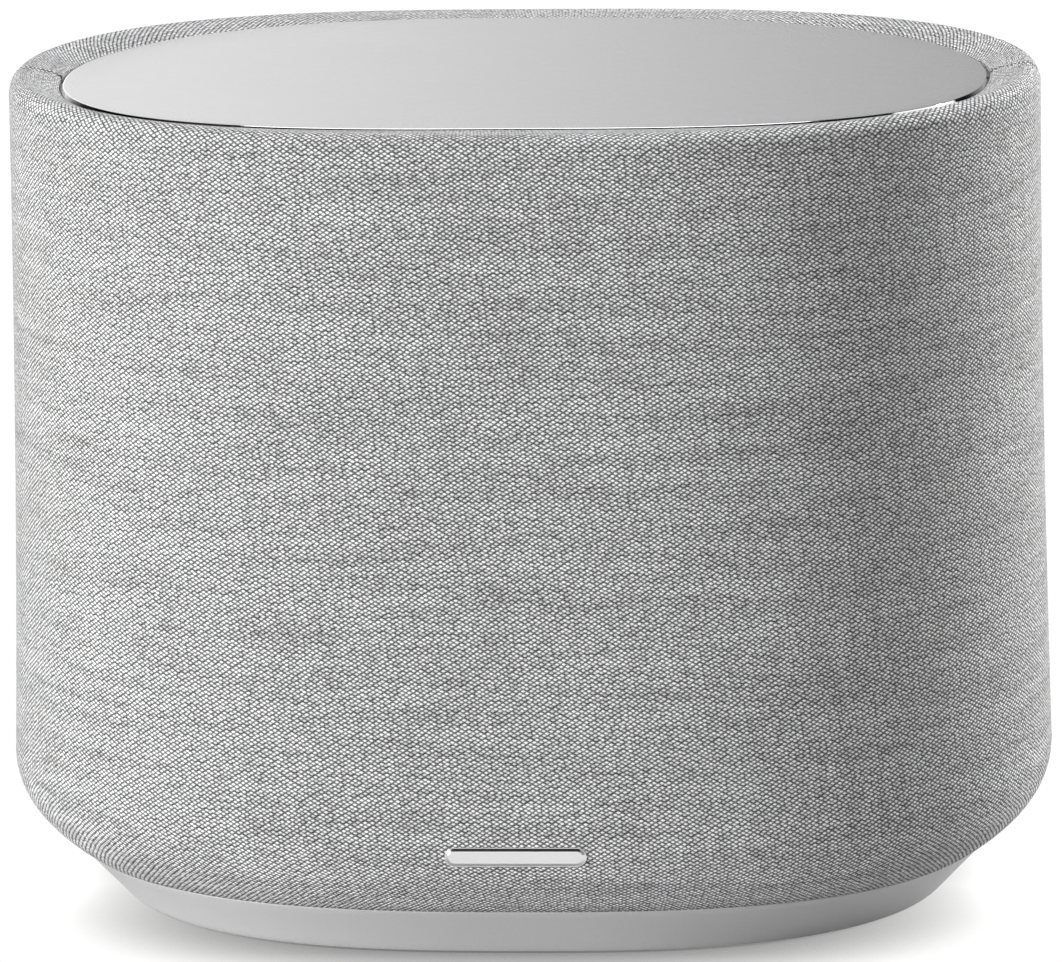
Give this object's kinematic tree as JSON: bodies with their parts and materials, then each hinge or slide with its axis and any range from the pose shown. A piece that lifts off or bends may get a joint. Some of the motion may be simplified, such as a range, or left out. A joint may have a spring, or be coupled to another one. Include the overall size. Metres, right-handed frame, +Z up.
{
  "type": "wireless speaker",
  "caption": "Large oval fabric-wrapped home speaker: crowned metal top, satin plinth, rear connection recess and a floor-firing woofer.",
  "frame": {"origin": "centre of the footprint, on the floor under the foot ring", "axes": "+Z up, +X along the body's width, the front with the badge faces -Y and the connection recess faces +Y"},
  "size_m": [0.444, 0.3135, 0.3506],
  "materials": {
    "sleeve_fabric": "heather grey woven cloth with light slubs",
    "plate_aluminium": "satin, bead blasted, with a polished chamfer",
    "badge_chrome": "polished",
    "plinth_grey": "satin grey paint",
    "foot_rubber": "matt",
    "moulding_dark": "fine moulded grain",
    "panel_black": "fine moulded grain",
    "gasket_foam": "closed cell foam",
    "bond_tape": "adhesive foam",
    "board_wood": "fibreboard",
    "screw_steel": "zinc plated",
    "wadding_white": "polyester felt",
    "basket_steel": "black powder coat",
    "pole_steel": "machined",
    "magnet_ferrite": "ceramic ferrite",
    "cone_paper": "coated paper",
    "former_film": "polyimide film",
    "coil_copper": "enamelled copper",
    "spider_cloth": "corrugated resin cloth",
    "contact_metal": "nickel plated",
    "light_clear": "frosted light pipe",
    "chassis_aluminium": "pressed sheet",
    "board_green": "solder mask",
    "part_dark": "moulded components",
    "winding_core": "lacquered core and windings",
    "sleeve_blue": "shrink sleeve on aluminium can",
    "lead_red": "flexible insulation"
  },
  "bodies": {
    "enclosure": {"fabric_sleeve": "sleeve_fabric", "rim_former": "moulding_dark", "sleeve_retainer": "moulding_dark", "hem_ring": "moulding_dark", "top_plate": "plate_aluminium", "plate_bond_pad": "bond_tape", "plate_carrier": "moulding_dark", "badge": "badge_chrome", "badge_clips": "screw_steel", "plinth": "plinth_grey", "foot_ring": "foot_rubber", "base_plate": "moulding_dark", "sound_reflector": "moulding_dark", "base_bolts": "screw_steel", "skirt_grille": "moulding_dark", "chamber_posts": "moulding_dark", "cabinet_shell": "moulding_dark", "cabinet_lid": "moulding_dark", "lid_gasket": "gasket_foam", "lid_screws": "screw_steel", "tie_columns": "chassis_aluminium", "woofer_baffle": "board_wood", "baffle_screws": "screw_steel", "acoustic_wadding": "wadding_white", "woofer_gasket": "gasket_foam", "woofer_basket": "basket_steel", "woofer_screws": "screw_steel", "front_pole_plate": "pole_steel", "ring_magnet": "magnet_ferrite", "back_plate": "pole_steel", "cone_surround": "gasket_foam", "spider": "spider_cloth", "woofer_terminals": "contact_metal", "terminal_tray": "panel_black", "tray_gasket": "gasket_foam", "tray_screws": "screw_steel", "mains_inlet": "panel_black", "inlet_pins": "contact_metal", "service_port": "contact_metal", "button_switch": "part_dark", "status_light": "light_clear", "electronics_chassis": "chassis_aluminium", "board_standoffs": "coil_copper", "amplifier_board": "board_green", "amplifier_parts": "part_dark", "heat_sink": "chassis_aluminium", "power_board": "board_green", "transformer": "winding_core", "power_capacitors": "sleeve_blue", "wireless_board": "board_green", "antennas": "board_green", "speaker_lead": "lead_red"},
    "cone_assembly": {"woofer_cone": "cone_paper", "dust_cap": "cone_paper", "coil_former": "former_film", "voice_coil": "coil_copper"},
    "button": {"connect_button": "moulding_dark"}
  },
  "joints": [
    {"name": "woofer_excursion", "type": "slide", "parent": "enclosure", "child": "cone_assembly", "axis": [0, 0, 1], "range_m": [-0.008, 0.008], "stiffness_N_per_m": 3000, "deforming": ["cone_surround", "spider"]},
    {"name": "connect_button_press", "type": "slide", "parent": "enclosure", "child": "button", "axis": [0, -1, 0], "range_m": [0, 0.001], "stiffness_N_per_m": 1000}
  ]
}
